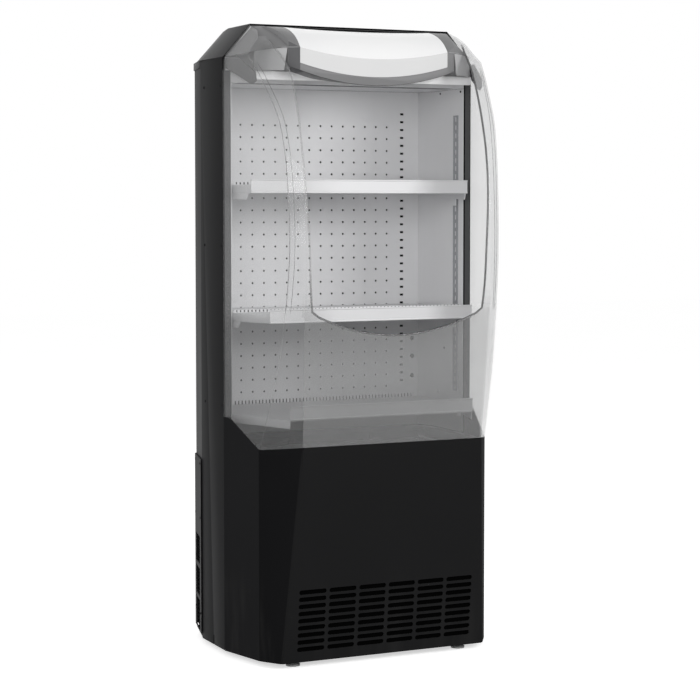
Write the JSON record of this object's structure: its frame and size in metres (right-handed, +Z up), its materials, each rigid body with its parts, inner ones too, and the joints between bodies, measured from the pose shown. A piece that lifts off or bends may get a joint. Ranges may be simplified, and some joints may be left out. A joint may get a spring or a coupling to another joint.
{
  "type": "open multideck display fridge",
  "caption": "Free-standing open-front refrigerated display cabinet with lift-off shelves, clear wrap-around screens, a lit canopy and a cooling unit behind a grilled lower cover",
  "frame": {"origin": "on the floor, under the middle of the overall bounding box", "axes": "+Z up; the open front faces -Y; +X is to the right of a viewer who stands in front of it"},
  "size_m": [0.6786, 0.6004, 1.525],
  "materials": {
    "black_panel": "satin black painted skin over foam",
    "grey_panel": "satin dark grey painted skin over foam",
    "black_steel": "satin black powder coat",
    "grey_steel": "satin dark grey powder coat",
    "white_steel": "white powder coat",
    "galvanised_steel": "galvanised sheet",
    "grey_plastic": "moulded grey plastic",
    "black_plastic": "moulded black plastic",
    "control_plastic": "moulded grey plastic",
    "strip_plastic": "light grey extruded plastic",
    "opal_plastic": "opal light diffuser",
    "lamp": "frosted tube",
    "clear_plastic": "clear moulded plastic",
    "foam_tank": "black insulated moulding",
    "aluminium_fins": "plain aluminium fins",
    "dark_fins": "black painted aluminium fins",
    "motor_metal": "plain grey motor can",
    "compressor_iron": "black painted steel shell of the compressor and the small fan motors",
    "copper_tube": "drawn copper tube"
  },
  "bodies": {
    "cabinet": {"base_plate": "black_steel", "side_panel_left": "black_panel", "side_panel_right": "black_panel", "rear_panel": "grey_panel", "roof_cap": "grey_panel", "side_liner_left": "white_steel", "side_liner_right": "white_steel", "back_panel": "white_steel", "ceiling_duct": "white_steel", "air_outlet": "grey_plastic", "side_rail_left": "galvanised_steel", "side_rail_right": "galvanised_steel", "front_cover": "black_steel", "rear_vent_cover": "grey_steel", "header_panel": "white_steel", "canopy_housing": "grey_plastic", "canopy_lens": "opal_plastic", "canopy_lamp": "lamp", "canopy_arm_left": "grey_plastic", "canopy_arm_right": "grey_plastic", "side_screen_left": "clear_plastic", "side_screen_right": "clear_plastic", "front_screen": "clear_plastic", "shelf_bracket_upper_left": "white_steel", "shelf_bracket_upper_right": "white_steel", "shelf_bracket_lower_left": "white_steel", "shelf_bracket_lower_right": "white_steel", "deck_rail_left": "white_steel", "deck_rail_right": "white_steel", "tank": "foam_tank", "tank_leg_left": "black_steel", "tank_leg_right": "black_steel", "evaporator_coil": "aluminium_fins", "evaporator_fan_plate": "black_steel", "evaporator_motor_left": "compressor_iron", "evaporator_motor_right": "compressor_iron", "condenser_coil": "dark_fins", "condenser_shroud": "black_steel", "condenser_motor": "motor_metal", "compressor": "compressor_iron", "evaporation_tray": "black_plastic", "drain_pipe": "grey_plastic", "control_box": "control_plastic", "power_inlet": "black_plastic", "discharge_line": "copper_tube", "suction_line": "copper_tube"},
    "shelf_upper": {"shelf_upper": "white_steel", "price_strip_upper": "strip_plastic"},
    "shelf_lower": {"shelf_lower": "white_steel", "price_strip_lower": "strip_plastic"},
    "deck": {"deck_tray": "white_steel", "price_strip_deck": "strip_plastic"},
    "evaporator_fan_left": {"evaporator_fan_left": "black_plastic"},
    "evaporator_fan_right": {"evaporator_fan_right": "black_plastic"},
    "condenser_fan": {"condenser_fan": "black_plastic"},
    "foot_front_left": {"foot_front_left": "grey_plastic"},
    "foot_front_right": {"foot_front_right": "grey_plastic"},
    "foot_rear_left": {"foot_rear_left": "grey_plastic"},
    "foot_rear_right": {"foot_rear_right": "grey_plastic"}
  },
  "joints": [
    {"name": "shelf_upper_lift", "type": "slide", "parent": "cabinet", "child": "shelf_upper", "axis": [0, 0, 1], "range_m": [0, 0.05]},
    {"name": "shelf_lower_lift", "type": "slide", "parent": "cabinet", "child": "shelf_lower", "axis": [0, 0, 1], "range_m": [0, 0.05]},
    {"name": "deck_lift", "type": "slide", "parent": "cabinet", "child": "deck", "axis": [0, 0, 1], "range_m": [0, 0.05]},
    {"name": "evaporator_fan_left_spin", "type": "hinge", "parent": "cabinet", "child": "evaporator_fan_left", "pos_m": [-0.112, 0.10672, 0.473], "axis": [0, 1, 0], "continuous": true},
    {"name": "evaporator_fan_right_spin", "type": "hinge", "parent": "cabinet", "child": "evaporator_fan_right", "pos_m": [0.112, 0.10672, 0.473], "axis": [0, 1, 0], "continuous": true},
    {"name": "condenser_fan_spin", "type": "hinge", "parent": "cabinet", "child": "condenser_fan", "pos_m": [0, -0.11498, 0.146], "axis": [0, 1, 0], "continuous": true},
    {"name": "foot_front_left_level", "type": "slide", "parent": "cabinet", "child": "foot_front_left", "axis": [0, 0, -1], "range_m": [0, 0.012]},
    {"name": "foot_front_right_level", "type": "slide", "parent": "cabinet", "child": "foot_front_right", "axis": [0, 0, -1], "range_m": [0, 0.012]},
    {"name": "foot_rear_left_level", "type": "slide", "parent": "cabinet", "child": "foot_rear_left", "axis": [0, 0, -1], "range_m": [0, 0.012]},
    {"name": "foot_rear_right_level", "type": "slide", "parent": "cabinet", "child": "foot_rear_right", "axis": [0, 0, -1], "range_m": [0, 0.012]}
  ]
}
